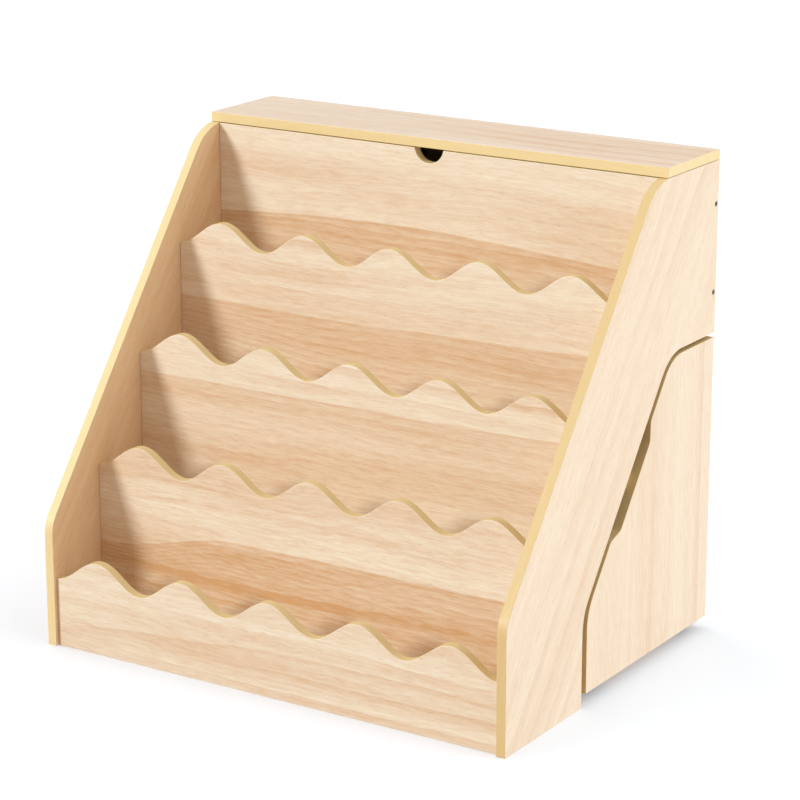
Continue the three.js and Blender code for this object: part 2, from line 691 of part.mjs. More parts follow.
addSidePanel("left", leftPanelShape());
addSidePanel("right", rightPanelShape());
tiers.forEach(addRail);
addFloors();
addBackrest();
addRearPanel();
addScrews("left");
addScrews("right");
addLid();
addHinge("hinge_left", -halfWidth + HINGE_INSET);
addHinge("hinge_right", halfWidth - HINGE_INSET);
addCartEnds();
addCartBoards();
addCasters();

stand.position.y = -overallDepth / 2;
const book_display_stand = new THREE.Group();
book_display_stand.add(stand);

export default book_display_stand;
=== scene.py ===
# %% [markdown]
# # A book display stand, finished on its CAD frame
# The stand has two side panels, four wavy rails that step up to a backrest, a lidded
# compartment behind it and a rolling cart parked underneath. The CAD frame already holds every
# board, joint and wheel at its true size. This lesson gives the boards their rounded arrises,
# edge banding and printed grain, and details the screws, hinges and casters.

# %% Load the frame
import math

import bmesh
import bpy
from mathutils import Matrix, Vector


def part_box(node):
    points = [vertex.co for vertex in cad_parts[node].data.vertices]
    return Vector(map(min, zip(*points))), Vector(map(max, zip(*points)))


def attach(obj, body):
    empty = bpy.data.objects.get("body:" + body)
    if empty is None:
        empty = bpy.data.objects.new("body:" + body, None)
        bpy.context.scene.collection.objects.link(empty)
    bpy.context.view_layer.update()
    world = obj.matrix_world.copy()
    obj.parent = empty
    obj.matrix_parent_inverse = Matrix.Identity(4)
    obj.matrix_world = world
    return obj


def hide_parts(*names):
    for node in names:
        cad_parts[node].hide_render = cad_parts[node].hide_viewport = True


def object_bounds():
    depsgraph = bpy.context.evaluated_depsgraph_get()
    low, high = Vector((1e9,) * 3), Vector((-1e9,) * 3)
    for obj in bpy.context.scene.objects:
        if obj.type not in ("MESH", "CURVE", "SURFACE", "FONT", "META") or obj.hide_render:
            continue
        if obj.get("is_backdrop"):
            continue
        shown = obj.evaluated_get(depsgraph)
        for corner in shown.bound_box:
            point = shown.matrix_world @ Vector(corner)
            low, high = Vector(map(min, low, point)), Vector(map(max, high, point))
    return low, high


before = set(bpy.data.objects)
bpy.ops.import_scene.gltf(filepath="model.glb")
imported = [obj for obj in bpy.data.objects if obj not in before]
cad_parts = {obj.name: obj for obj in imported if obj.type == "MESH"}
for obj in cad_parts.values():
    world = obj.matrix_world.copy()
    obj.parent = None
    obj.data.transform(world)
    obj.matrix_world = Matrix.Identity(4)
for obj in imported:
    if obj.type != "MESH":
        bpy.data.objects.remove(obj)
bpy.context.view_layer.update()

# %% [markdown]
# ## The camera
# A long lens far away keeps the boards' edges nearly parallel, as in catalogue pictures. The
# camera stands to the right of the stand and looks slightly down, without any lens shift, so it
# can be moved round the stand later.

# %% Place the camera
CAMERA_PLACE = (2.2301, -3.4203, 1.5728)
CAMERA_TURN = math.radians(32.69)
CAMERA_TILT = math.radians(16.39)
FOCAL_LENGTH = 129.0
SENSOR_WIDTH = 36

scene = bpy.context.scene
lens = bpy.data.cameras.new("studio_camera")
lens.sensor_width = SENSOR_WIDTH
lens.lens = FOCAL_LENGTH
camera = bpy.data.objects.new("studio_camera", lens)
camera.location = CAMERA_PLACE
camera.rotation_euler = (math.pi / 2 - CAMERA_TILT, 0, CAMERA_TURN)
scene.collection.objects.link(camera)
scene.camera = camera
print("camera stands", round(camera.location.length, 2), "m from the origin")

# %% [markdown]
# ## Helpers for node trees
# Shader nodes and geometry nodes are added in the same way: a node is made, its settings are
# set, and its inputs get a value or a link. These helpers do this for every tree below.

# %% Define the node helpers
def fill_inputs(tree, node, inputs):
    """Gives a node's inputs, by name or number, a value or another node's output."""
    for key, value in inputs.items():
        if isinstance(value, bpy.types.NodeSocket):
            tree.links.new(value, node.inputs[key])
        else:
            node.inputs[key].default_value = value
    return node


def add_node(tree, kind, inputs=None, **settings):
    """Adds a node with its settings and inputs."""
    made = tree.nodes.new(kind)
    for name, value in settings.items():
        setattr(made, name, value)
    return fill_inputs(tree, made, inputs or {})


def new_group(name, kind, inputs, outputs):
    """Makes a node group with named sockets and returns it with its input and output nodes."""
    group = bpy.data.node_groups.new(name, kind)
    for in_out, sockets in (("INPUT", inputs), ("OUTPUT", outputs)):
        for socket_name, socket_type in sockets:
            group.interface.new_socket(socket_name, in_out=in_out, socket_type=socket_type)
    given = group.nodes.new("NodeGroupInput")
    result = group.nodes.new("NodeGroupOutput")
    return group, given, result


def maths(tree, operation, *values, clamp=False):
    """One Math node, and the value that comes out of it."""
    inputs = dict(enumerate(values))
    made = add_node(tree, "ShaderNodeMath", inputs, operation=operation, use_clamp=clamp)
    return made.outputs[0]


def stepped(tree, value, low, high, start=0.0, end=1.0):
    """A smooth step from start to end as the value goes from low to high."""
    inputs = {"Value": value, "From Min": low, "From Max": high, "To Min": start, "To Max": end}
    made = add_node(tree, "ShaderNodeMapRange", inputs, interpolation_type="SMOOTHSTEP")
    return made.outputs["Result"]


FLOAT = "NodeSocketFloat"
VECTOR = "NodeSocketVector"
INTEGER = "NodeSocketInt"
MATERIAL = "NodeSocketMaterial"
GEOMETRY = "NodeSocketGeometry"
print("helpers are ready")

# %% [markdown]
# ## The grain
# The boards are chipboard under a printed wood foil. The print has five layers: broad soft
# streaks, narrower ribbons, growth rings that are sharp on one side and fade on the other, fine
# fibres, and short dark pores. The rings are a saw wave bent by noise, and the rest is noise that
# is stretched along the grain. A group holds them all, because every board uses them with its
# own grain direction and its own seed.

# %% Build the grain group
def stretched_noise(tree, place, along, across, detail=2.0, roughness=0.5):
    """Noise with this many patches to the metre along the grain (X) and across it (Y)."""
    scale = add_node(
        tree, "ShaderNodeVectorMath", {0: place, 1: (along, across, across)}, operation="MULTIPLY"
    )
    inputs = {"Vector": scale.outputs[0], "Scale": 1.0, "Detail": detail, "Roughness": roughness}
    return add_node(tree, "ShaderNodeTexNoise", inputs).outputs[0]


def distance_along(tree, place, direction):
    """How far a place lies along a direction."""
    made = add_node(
        tree, "ShaderNodeVectorMath", {0: place, 1: direction}, operation="DOT_PRODUCT"
    )
    return made.outputs["Value"]


# How far, in metres, a slow and a quick noise push the grain sideways.
SLOW_DRIFT = 0.05
QUICK_DRIFT = 0.0045
RINGS_PER_METRE = 26.0
BROAD_SHARE = 0.27
RIBBON_SHARE = 0.19
RING_SHARE = 0.27

grain, given, result = new_group(
    "Printed Grain",
    "ShaderNodeTree",
    [("Position", VECTOR), ("Along", VECTOR), ("Across", VECTOR), ("Seed", FLOAT)],
    [("Along Grain", VECTOR), ("Tone", FLOAT), ("Fibre", FLOAT), ("Pores", FLOAT)],
)
lengthways = distance_along(grain, given.outputs["Position"], given.outputs["Along"])
sideways = distance_along(grain, given.outputs["Position"], given.outputs["Across"])
seed = given.outputs["Seed"]
flat_place = add_node(
    grain, "ShaderNodeCombineXYZ", {0: lengthways, 1: sideways, 2: seed}
).outputs[0]

wander = stretched_noise(grain, flat_place, 1.6, 5.0)
drift = maths(grain, "MULTIPLY", maths(grain, "SUBTRACT", wander, 0.5), SLOW_DRIFT)
quiver = stretched_noise(grain, flat_place, 38.0, 30.0, 1.0)
drift = maths(grain, "MULTIPLY_ADD", maths(grain, "SUBTRACT", quiver, 0.5), QUICK_DRIFT, drift)
bent_sideways = maths(grain, "ADD", sideways, drift)
bent = add_node(
    grain, "ShaderNodeCombineXYZ", {0: lengthways, 1: bent_sideways, 2: seed}
).outputs[0]

broad = stretched_noise(grain, bent, 1.1, 13.0)
ribbons = stretched_noise(grain, bent, 3.0, 65.0, 3.0, 0.6)
fibres = stretched_noise(grain, bent, 26.0, 230.0, 3.0, 0.7)
dashes = stretched_noise(grain, bent, 60.0, 620.0, 1.0, 0.4)

# A saw wave climbs slowly across a ring and drops at once, like late wood next to early wood.
rings = maths(
    grain, "FRACT", maths(grain, "MULTIPLY_ADD", bent_sideways, RINGS_PER_METRE, broad)
)
climb = stepped(grain, rings, 0.25, 0.95)
drop = stepped(grain, rings, 1.0, 0.955)
ring_places = stepped(grain, wander, 0.46, 0.68)
ring_part = maths(grain, "MULTIPLY", maths(grain, "MULTIPLY", climb, drop), ring_places)

tone = maths(grain, "MULTIPLY", stepped(grain, broad, 0.38, 0.74), BROAD_SHARE)
ribbon_part = maths(grain, "MULTIPLY", stepped(grain, ribbons, 0.35, 0.75), RIBBON_SHARE)
tone = maths(grain, "ADD", tone, ribbon_part)
tone = maths(grain, "MULTIPLY_ADD", ring_part, RING_SHARE, tone, clamp=True)
grain.links.new(flat_place, result.inputs["Along Grain"])
grain.links.new(tone, result.inputs["Tone"])
grain.links.new(stepped(grain, fibres, 0.3, 0.72), result.inputs["Fibre"])
grain.links.new(stepped(grain, dashes, 0.62, 0.78), result.inputs["Pores"])
print("grain group:", len(grain.nodes), "nodes")

# %% [markdown]
# ## A flame band
# Boards cut near the heart show one wide warm figure whose upper side is a sharp line and whose
# lower side fades away. It starts at a tip and follows a slightly bowed line along the board,
# with fainter rings below it. On the rails and the backrest the warm band is also painted shade,
# low in the pockets between the boards. A second group draws it from a height, a rise, a bow, the
# place of the tip, the depth over which it fades and the share that remains.

# %% Build the flame group
TIP_LENGTH = 0.22
TIP_DROP = 0.035
LINE_RIPPLE = 0.012
SHARP_FROM = -0.0008
SHARP_TO = 0.0022
RING_GAP = 0.012
RING_WANDER = 2.2
ECHO_LOW = 0.6

flame, given, result = new_group(
    "Flame Band",
    "ShaderNodeTree",
    [
        ("Along Grain", VECTOR),
        ("Height", FLOAT),
        ("Rise", FLOAT),
        ("Bow", FLOAT),
        ("Start", FLOAT),
        ("Depth", FLOAT),
        ("Remainder", FLOAT),
    ],
    [("Mask", FLOAT)],
)
size = given.outputs
parts = add_node(flame, "ShaderNodeSeparateXYZ", {0: size["Along Grain"]})
run = parts.outputs[0]
bowed = maths(flame, "MULTIPLY", maths(flame, "MULTIPLY", run, run), size["Bow"])
line = maths(flame, "MULTIPLY_ADD", run, size["Rise"], bowed)
line = maths(flame, "ADD", line, size["Height"])
ripple = stretched_noise(flame, size["Along Grain"], 4.0, 2.0)
line = maths(flame, "MULTIPLY_ADD", maths(flame, "SUBTRACT", ripple, 0.5), LINE_RIPPLE, line)
tip_end = maths(flame, "ADD", size["Start"], TIP_LENGTH)
before_tip = stepped(flame, run, size["Start"], tip_end, TIP_DROP, 0.0)
line = maths(flame, "SUBTRACT", line, before_tip)
below = maths(flame, "SUBTRACT", line, parts.outputs[1])
sharp_side = stepped(flame, below, SHARP_FROM, SHARP_TO)
faded_side = stepped(flame, below, 0.0, size["Depth"], 1.0, size["Remainder"])

# Fainter rings follow the line below it. They lie close at the tip and open out from there.
wide_end = maths(flame, "ADD", size["Start"], 1.0)
gap = stepped(flame, run, size["Start"], wide_end, 0.5 * RING_GAP, 1.6 * RING_GAP)
ring_place = maths(flame, "DIVIDE", below, gap)
ring_noise = stretched_noise(flame, size["Along Grain"], 3.0, 14.0)
ring_place = maths(flame, "MULTIPLY_ADD", ring_noise, RING_WANDER, ring_place)
echo = stepped(flame, maths(flame, "FRACT", ring_place), 0.0, 0.9, 1.0, ECHO_LOW)
mask = maths(flame, "MULTIPLY", maths(flame, "MULTIPLY", sharp_side, faded_side), echo)
flame.links.new(mask, result.inputs["Mask"])
print("flame group:", len(flame.nodes), "nodes")

# %% [markdown]
# ## Edge wear
# Handled boards are paler and a little rougher along their arrises. Each board's mesh carries a
# number named `edge_fade`, which is 1 on its outline and 0 a few millimetres inside. The group
# breaks that strip up with noise, so the wear isn't an even frame.

# %% Build the wear group
wear, given, result = new_group(
    "Edge Wear",
    "ShaderNodeTree",
    [("Edge", FLOAT), ("Position", VECTOR), ("Amount", FLOAT)],
    [("Mask", FLOAT)],
)
patches = add_node(
    wear,
    "ShaderNodeTexNoise",
    {"Vector": given.outputs["Position"], "Scale": 55.0, "Detail": 3.0, "Roughness": 0.6},
).outputs[0]
worn = maths(wear, "MULTIPLY", stepped(wear, patches, 0.38, 0.7), given.outputs["Edge"])
wear.links.new(maths(wear, "MULTIPLY", worn, given.outputs["Amount"]), result.inputs["Mask"])
print("wear group:", len(wear.nodes), "nodes")

# %% [markdown]
# ## Materials in general
# Every material on the stand is a Principled shader that reads object coordinates, so its pattern
# stays on the piece. These helpers start a material, mix two colours, place a group and add
# relief.

# %% Define the material helpers
def mixed(tree, factor, first, second):
    """A colour between two colours."""
    inputs = {0: factor, 6: first, 7: second}
    return add_node(tree, "ShaderNodeMix", inputs, data_type="RGBA").outputs[2]


def group_node(tree, group, inputs):
    """A group placed in a material with its own values."""
    made = tree.nodes.new("ShaderNodeGroup")
    made.node_tree = group
    return fill_inputs(tree, made, inputs)


def new_material(name):
    """An empty node material with its shader and its object coordinates."""
    material = bpy.data.materials.new(name)
    material.use_nodes = True
    tree = material.node_tree
    shader = tree.nodes["Principled BSDF"]
    place = add_node(tree, "ShaderNodeTexCoord").outputs["Object"]
    return material, tree, shader, place


def add_bump(tree, shader, height, strength, distance):
    """Relief on the shader's normal."""
    inputs = {"Height": height, "Strength": strength, "Distance": distance}
    bump = add_node(tree, "ShaderNodeBump", inputs)
    tree.links.new(bump.outputs[0], shader.inputs["Normal"])


print("material helpers are ready")

# %% [markdown]
# ## The laminate
# One function turns the groups into a board's material. The colour goes from a pale cream to a
# warm tan, the pores darken it, and the foil has a satin sheen that is a little rougher where
# the fibres are. Where a flame band lies, the other figure is calmer. A board may also have a
# pale strip near one edge, with darker late wood just before it. Boards differ only in grain
# direction, seed, contrast, palest tone and flame, so they look as if they came from one decor.

# %% Define the laminate
PALE = (0.925, 0.860, 0.708, 1)
WARM = (0.665, 0.395, 0.190, 1)
PORE = (0.480, 0.270, 0.130, 1)
WORN = (0.965, 0.880, 0.740, 1)
CALM = 0.55
FIBRE_SHARE = 0.27
FIBRE_FLOOR = 0.4
PORE_SHARE = 0.28
WEAR_AMOUNT = 0.5
LATE_WOOD_WIDTH = 0.022
LATE_WOOD_TONE = 0.16
EARLY_WOOD_EDGE = 0.0015
EARLY_WOOD_TONE = 0.15
FOIL_IOR = 1.45
FLAME_INPUTS = ("Height", "Rise", "Bow", "Start", "Depth", "Remainder")


def with_flame(tree, tone, figure, flame_shade_line):
    """The tone with a flame band in it, partly painted shade on the rails and backrest.
    flame_shade_line ends in the band's strength.
    """
    values = dict(zip(FLAME_INPUTS, flame_shade_line))
    values["Along Grain"] = figure.outputs["Along Grain"]
    band = group_node(tree, flame, values).outputs[0]
    calm = maths(tree, "MULTIPLY_ADD", band, -CALM, 1.0)
    tone = maths(tree, "MULTIPLY", tone, calm)
    return maths(tree, "MULTIPLY_ADD", band, flame_shade_line[-1], tone)


def with_pale_strip(tree, tone, place, start):
    """The tone with late wood up to a place along Y and a pale strip from there on."""
    sideways = add_node(tree, "ShaderNodeSeparateXYZ", {0: place}).outputs[1]
    late_wood = stepped(tree, sideways, start - LATE_WOOD_WIDTH, start, 0.0, LATE_WOOD_TONE)
    tone = maths(tree, "ADD", tone, late_wood)
    edge = start + EARLY_WOOD_EDGE
    early_wood = stepped(tree, sideways, start, edge, 1.0, EARLY_WOOD_TONE)
    return maths(tree, "MULTIPLY", tone, early_wood)


def laminate(name, along, across, seed, flame_shade_line=None, contrast=1.0, pale=PALE, strip=None):
    """The printed foil on one board."""
    material, tree, shader, place = new_material(name)
    figure = group_node(
        tree, grain, {"Position": place, "Along": along, "Across": across, "Seed": seed}
    )
    tone = maths(tree, "MULTIPLY", figure.outputs["Tone"], contrast)
    if flame_shade_line:
        tone = with_flame(tree, tone, figure, flame_shade_line)
    if strip:
        tone = with_pale_strip(tree, tone, place, strip)
    fibre_share = FIBRE_SHARE * (FIBRE_FLOOR + (1 - FIBRE_FLOOR) * contrast)
    fibre = maths(tree, "MULTIPLY", figure.outputs["Fibre"], fibre_share)
    tone = maths(tree, "ADD", tone, fibre, clamp=True)
    pores = maths(tree, "MULTIPLY", figure.outputs["Pores"], PORE_SHARE)
    color = mixed(tree, pores, mixed(tree, tone, pale, WARM), PORE)
    edge = add_node(tree, "ShaderNodeAttribute", attribute_name="edge_fade").outputs["Fac"]
    rubbed = group_node(
        tree, wear, {"Edge": edge, "Position": place, "Amount": WEAR_AMOUNT}
    ).outputs[0]
    tree.links.new(mixed(tree, rubbed, color, WORN), shader.inputs["Base Color"])
    rough = maths(tree, "MULTIPLY_ADD", figure.outputs["Fibre"], 0.12, 0.42)
    rough = maths(tree, "MULTIPLY_ADD", rubbed, 0.15, rough)
    tree.links.new(rough, shader.inputs["Roughness"])
    shader.inputs["IOR"].default_value = FOIL_IOR
    relief = maths(tree, "SUBTRACT", 1.0, maths(tree, "ADD", figure.outputs["Fibre"], pores))
    add_bump(tree, shader, relief, 0.12, 0.0002)
    return material


AXIS_X = (1, 0, 0)
AXIS_Y = (0, 1, 0)
AXIS_Z = (0, 0, 1)
GRAIN_RAKE = math.radians(53)
UP_SLOPE = (0, math.cos(GRAIN_RAKE), math.sin(GRAIN_RAKE))
OFF_SLOPE = (0, -math.sin(GRAIN_RAKE), math.cos(GRAIN_RAKE))
print("laminate runs up the side panels at", round(math.degrees(GRAIN_RAKE)), "degrees")

# %% [markdown]
# ## The edge banding
# Every sawn edge that shows is closed with a plastic band of a plain yellow cream, much calmer
# than the foil. It has faint lines along the board and a slightly higher gloss, and its colour
# drifts a little, because the strip is thin and the board shows through. There are two tones of
# the one band: a golden one on the right panel, the rails and the cart's ends, which is painted
# shade for edges that get less light, and a paler, lit one elsewhere.

# %% Make the edge bands
def edge_band(name, tint, shade, along, across):
    """The plastic strip on the boards' edges."""
    material, tree, shader, place = new_material(name)
    lines = group_node(
        tree, grain, {"Position": place, "Along": along, "Across": across, "Seed": 4.0}
    )
    amount = maths(tree, "MULTIPLY", lines.outputs["Fibre"], 0.25)
    amount = maths(tree, "MULTIPLY_ADD", lines.outputs["Tone"], 0.6, amount, clamp=True)
    tree.links.new(mixed(tree, amount, tint, shade), shader.inputs["Base Color"])
    rough = maths(tree, "MULTIPLY_ADD", lines.outputs["Fibre"], 0.1, 0.45)
    tree.links.new(rough, shader.inputs["Roughness"])
    add_bump(tree, shader, lines.outputs["Fibre"], 0.08, 0.0001)
    return material


BAND_LIGHT = (0.890, 0.745, 0.400, 1)
BAND_DEEP = (0.790, 0.600, 0.270, 1)
# Painted shade: the golden pair is the same band made darker, for the edges that get less light.
SHADED_GOLD_PALE = (0.755, 0.585, 0.285, 1)
SHADED_GOLD_DEEP = (0.670, 0.485, 0.210, 1)
OFF_LEVEL = (0, 0.707, 0.707)
band_left = edge_band("edge_band_left", BAND_LIGHT, BAND_DEEP, UP_SLOPE, AXIS_X)
band_right_shaded = edge_band("edge_band_right", SHADED_GOLD_PALE, SHADED_GOLD_DEEP, UP_SLOPE, AXIS_X)
band_across = edge_band("edge_band_across", BAND_LIGHT, BAND_DEEP, AXIS_X, OFF_LEVEL)
band_rails_shaded = edge_band("edge_band_rails", SHADED_GOLD_PALE, SHADED_GOLD_DEEP, AXIS_X, OFF_LEVEL)
print("edge bands:", band_left.name, band_right_shaded.name, band_across.name, band_rails_shaded.name)

# %% [markdown]
# ## Wavy rails with geometry nodes
# Four rails share one rule: a cosine wave of five crests along the top of a straight board. A
# tree with named sizes makes them, so a rail is a set of numbers. The tree starts from a grid
# with four rows, lifts the rows to the bottom edge, two lines just inside the edges and the
# wave, then thickens it. It also stores `edge_fade` on the outer rows. At the end, faces that
# don't look along Y get the band.

# %% Build the rail tree
rail_tree, given, result = new_group(
    "Wavy Rail",
    "GeometryNodeTree",
    [
        ("Width", FLOAT),
        ("Thickness", FLOAT),
        ("Front", FLOAT),
        ("Bottom", FLOAT),
        ("Trough", FLOAT),
        ("Wave Rise", FLOAT),
        ("Crests", INTEGER),
        ("Steps", INTEGER),
        ("Strip", FLOAT),
        ("Face", MATERIAL),
        ("Band", MATERIAL),
    ],
    [("Geometry", GEOMETRY)],
)
WELD_DISTANCE = 0.00001
# The grid's rows lie 1 m apart here, at -1.5, -0.5, 0.5 and 1.5, and get their real place below.
GRID_DEPTH = 3.0
size = given.outputs
grid = add_node(
    rail_tree,
    "GeometryNodeMeshGrid",
    {"Size X": size["Width"], "Size Y": GRID_DEPTH, "Vertices X": size["Steps"], "Vertices Y": 4},
)
position = add_node(rail_tree, "GeometryNodeInputPosition").outputs[0]
spot = add_node(rail_tree, "ShaderNodeSeparateXYZ", {0: position})
share = maths(rail_tree, "DIVIDE", spot.outputs[0], size["Width"])
phase = maths(rail_tree, "MULTIPLY", maths(rail_tree, "ADD", share, 0.5), size["Crests"])
turn = maths(rail_tree, "COSINE", maths(rail_tree, "MULTIPLY", phase, 2 * math.pi))
lift = maths(rail_tree, "MULTIPLY", maths(rail_tree, "SUBTRACT", 1.0, turn), 0.5)
crest_line = maths(rail_tree, "MULTIPLY_ADD", lift, size["Wave Rise"], size["Trough"])
upper = maths(rail_tree, "GREATER_THAN", spot.outputs[1], 0.0)
inner = maths(rail_tree, "LESS_THAN", maths(rail_tree, "ABSOLUTE", spot.outputs[1]), 1.0)
whole = maths(rail_tree, "SUBTRACT", crest_line, size["Bottom"])
edge_height = maths(rail_tree, "MULTIPLY_ADD", upper, whole, size["Bottom"])
inward = maths(rail_tree, "MULTIPLY_ADD", upper, -2.0, 1.0)
step_in = maths(
    rail_tree, "MULTIPLY", maths(rail_tree, "MULTIPLY", inward, inner), size["Strip"]
)
row_height = maths(rail_tree, "ADD", edge_height, step_in)
place = add_node(
    rail_tree, "ShaderNodeCombineXYZ", {0: spot.outputs[0], 1: size["Front"], 2: row_height}
).outputs[0]
outer = maths(rail_tree, "SUBTRACT", 1.0, inner)
fade = add_node(
    rail_tree,
    "GeometryNodeStoreNamedAttribute",
    {"Geometry": grid.outputs["Mesh"], "Name": "edge_fade", "Value": outer},
    data_type="FLOAT",
    domain="POINT",
)
front_face = add_node(
    rail_tree, "GeometryNodeSetPosition", {"Geometry": fade.outputs[0], "Position": place}
).outputs[0]
depth = add_node(rail_tree, "ShaderNodeCombineXYZ", {1: size["Thickness"]}).outputs[0]
thick = add_node(
    rail_tree, "GeometryNodeExtrudeMesh", {"Mesh": front_face, "Offset": depth, "Individual": False}
)
both = add_node(rail_tree, "GeometryNodeJoinGeometry")
rail_tree.links.new(front_face, both.inputs[0])
rail_tree.links.new(thick.outputs["Mesh"], both.inputs[0])
welded = add_node(
    rail_tree,
    "GeometryNodeMergeByDistance",
    {"Geometry": both.outputs[0], "Distance": WELD_DISTANCE},
)
real = add_node(rail_tree, "GeometryNodeRealizeInstances", {"Geometry": welded.outputs[0]})
faced = add_node(
    rail_tree, "GeometryNodeSetMaterial", {"Geometry": real.outputs[0], "Material": size["Face"]}
)
way = add_node(rail_tree, "GeometryNodeInputNormal").outputs[0]
forwards = add_node(rail_tree, "ShaderNodeSeparateXYZ", {0: way}).outputs[1]
on_edge = maths(rail_tree, "LESS_THAN", maths(rail_tree, "ABSOLUTE", forwards), 0.5)
finished = add_node(
    rail_tree,
    "GeometryNodeSetMaterial",
    {"Geometry": faced.outputs[0], "Selection": on_edge, "Material": size["Band"]},
)
rail_tree.links.new(finished.outputs[0], result.inputs[0])
print("rail tree:", len(rail_tree.nodes), "nodes")

# %% [markdown]
# ## From a tree to a plain piece
# A modifier's inputs are set by each socket's identifier, before the object is evaluated for the
# first time. The evaluated result becomes a plain mesh, and the object with the modifier goes
# away. Solids from extrusions get their normals recalculated, so all faces point outwards.
# A bevel of four segments rounds a board's arrises, and two are enough on small metal parts.

# %% Define the tree runner and the arris
ARRIS = 0.0008
SHARP_ANGLE = math.radians(30)


def piece_from_mesh(name, mesh):
    """An object for a finished mesh."""
    piece = bpy.data.objects.new(name, mesh)
    scene.collection.objects.link(piece)
    return piece


def run_tree(name, tree, values):
    """Evaluates a geometry tree with these inputs and returns the result as a mesh piece."""
    holder = piece_from_mesh(name + "_tree", bpy.data.meshes.new(name + "_tree"))
    modifier = holder.modifiers.new("tree", "NODES")
    modifier.node_group = tree
    sockets = {item.name: item.identifier for item in tree.interface.items_tree}
    for key, value in values.items():
        modifier[sockets[key]] = value
    holder.update_tag()
    evaluated = holder.evaluated_get(bpy.context.evaluated_depsgraph_get())
    mesh = bpy.data.meshes.new_from_object(evaluated)
    bpy.data.objects.remove(holder)
    mesh.name = name
    solid = bmesh.new()
    solid.from_mesh(mesh)
    bmesh.ops.recalc_face_normals(solid, faces=solid.faces)
    solid.to_mesh(mesh)
    solid.free()
    return piece_from_mesh(name, mesh)


def round_arris(piece, width=ARRIS, segments=4):
    """Rounds the sharp edges, with the flat faces still shaded flat."""
    for polygon in piece.data.polygons:
        polygon.use_smooth = True
    arris = piece.modifiers.new("arris", "BEVEL")
    arris.width = width
    arris.segments = segments
    arris.limit_method = "ANGLE"
    arris.angle_limit = SHARP_ANGLE
    arris.harden_normals = True
    return piece


def dress(piece, body, nodes):
    """Puts a finished piece on its body, in place of its CAD nodes if it stands for any."""
    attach(piece, body)
    if nodes:
        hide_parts(*nodes)
    return piece


print("arris radius:", ARRIS * 1000, "mm")

# %% [markdown]
# ## The four rails
# Each rail takes its width, thickness and heights from its CAD box. The wave's rise and its
# number of crests are the only sizes that a box doesn't give. Every rail carries a warm flame band
# low on its face, which is partly grain figure and partly painted shade for the dim pockets
# between the rails. It is faint on the first rail, and strongest on the second and the fourth.

# %% Make the rails
WAVE_RISE = 0.037
CRESTS = 5
STEPS_PER_CREST = 40
STRIP = 0.0025

# Height, rise, bow, tip, fading depth, remaining share and strength of each rail's flame and painted
# shade.
FLAME_AND_SHADE_LINES = {
    1: (0.069, 0.047, -0.106, -0.55, 0.022, 0.15, 0.36),
    2: (0.1785, 0.006, -0.024, -0.36, 0.090, 0.66, 0.52),
    3: (0.383, 0.008, 0.000, -0.62, 0.050, 0.42, 0.45),
    4: (0.476, 0.013, 0.040, -0.62, 0.120, 0.75, 0.50),
}
FIGURE_CONTRAST = {1: 1.0, 2: 1.3, 3: 1.05, 4: 1.0}
for number, flame_shade_line in FLAME_AND_SHADE_LINES.items():
    node = f"rail_{number}"
    low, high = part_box(node)
    name = f"laminate_{node}"
    contrast = FIGURE_CONTRAST[number]
    face = laminate(name, AXIS_X, AXIS_Z, 1.7 * number, flame_shade_line, contrast)
    rail = run_tree(
        f"wavy_rail_{number}",
        rail_tree,
        {
            "Width": high.x - low.x,
            "Thickness": high.y - low.y,
            "Front": low.y,
            "Bottom": low.z,
            "Trough": high.z - WAVE_RISE,
            "Wave Rise": WAVE_RISE,
            "Crests": CRESTS,
            "Steps": CRESTS * STEPS_PER_CREST + 1,
            "Strip": STRIP,
            "Face": face,
            "Band": band_rails_shaded,
        },
    )
    dress(round_arris(rail), "stand", [node])
    print(rail.name, "has", len(rail.data.polygons), "faces and", len(rail.data.materials), "materials")

# %% [markdown]
# ## The other boards
# The panels' outlines are already in the CAD model, so a board starts as a merged copy of its
# node. Its flat triangles are dissolved into whole faces, which an inset divides into the face
# and a narrow strip beside the edges. The face inside the strips is filled again, because a long
# face made before the inset could cross the strip round a screw's bore. The two broad sides get
# the foil and the rest the band.

# %% Define a board
BOARD_STRIP = 0.0015
ON_PLANE = 0.00001
MERGE_DISTANCE = 0.000001
FLAT_ANGLE = math.radians(1)
FACE_KIND, BAND_KIND, FAR_KIND = 0, 1, 2


def merged_copy(node):
    """A CAD node's solid with its triangles merged into whole faces."""
    solid = bmesh.new()
    solid.from_mesh(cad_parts[node].data)
    bmesh.ops.remove_doubles(solid, verts=solid.verts, dist=MERGE_DISTANCE)
    bmesh.ops.dissolve_limit(
        solid, angle_limit=FLAT_ANGLE, verts=solid.verts, edges=solid.edges
    )
    return solid


def piece_from_solid(name, solid, materials):
    """An object for a finished solid, without the CAD mesh's own normals."""
    mesh = bpy.data.meshes.new(name)
    solid.to_mesh(mesh)
    solid.free()
    own_normals = mesh.attributes.get("custom_normal")
    if own_normals:
        mesh.attributes.remove(own_normals)
    for material in materials:
        mesh.materials.append(material)
    return piece_from_mesh(name, mesh)


def sort_faces(solid, node, broad_axis, far_kind):
    """Marks the two broad sides and the edges by material, and returns the broad sides."""
    low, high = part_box(node)
    for side in solid.faces:
        place = side.calc_center_median()[broad_axis]
        side.material_index = BAND_KIND
        if abs(side.normal[broad_axis]) > 0.9:
            if abs(place - high[broad_axis]) < ON_PLANE:
                side.material_index = FACE_KIND
            elif abs(place - low[broad_axis]) < ON_PLANE:
                side.material_index = far_kind
    return [side for side in solid.faces if side.material_index != BAND_KIND]


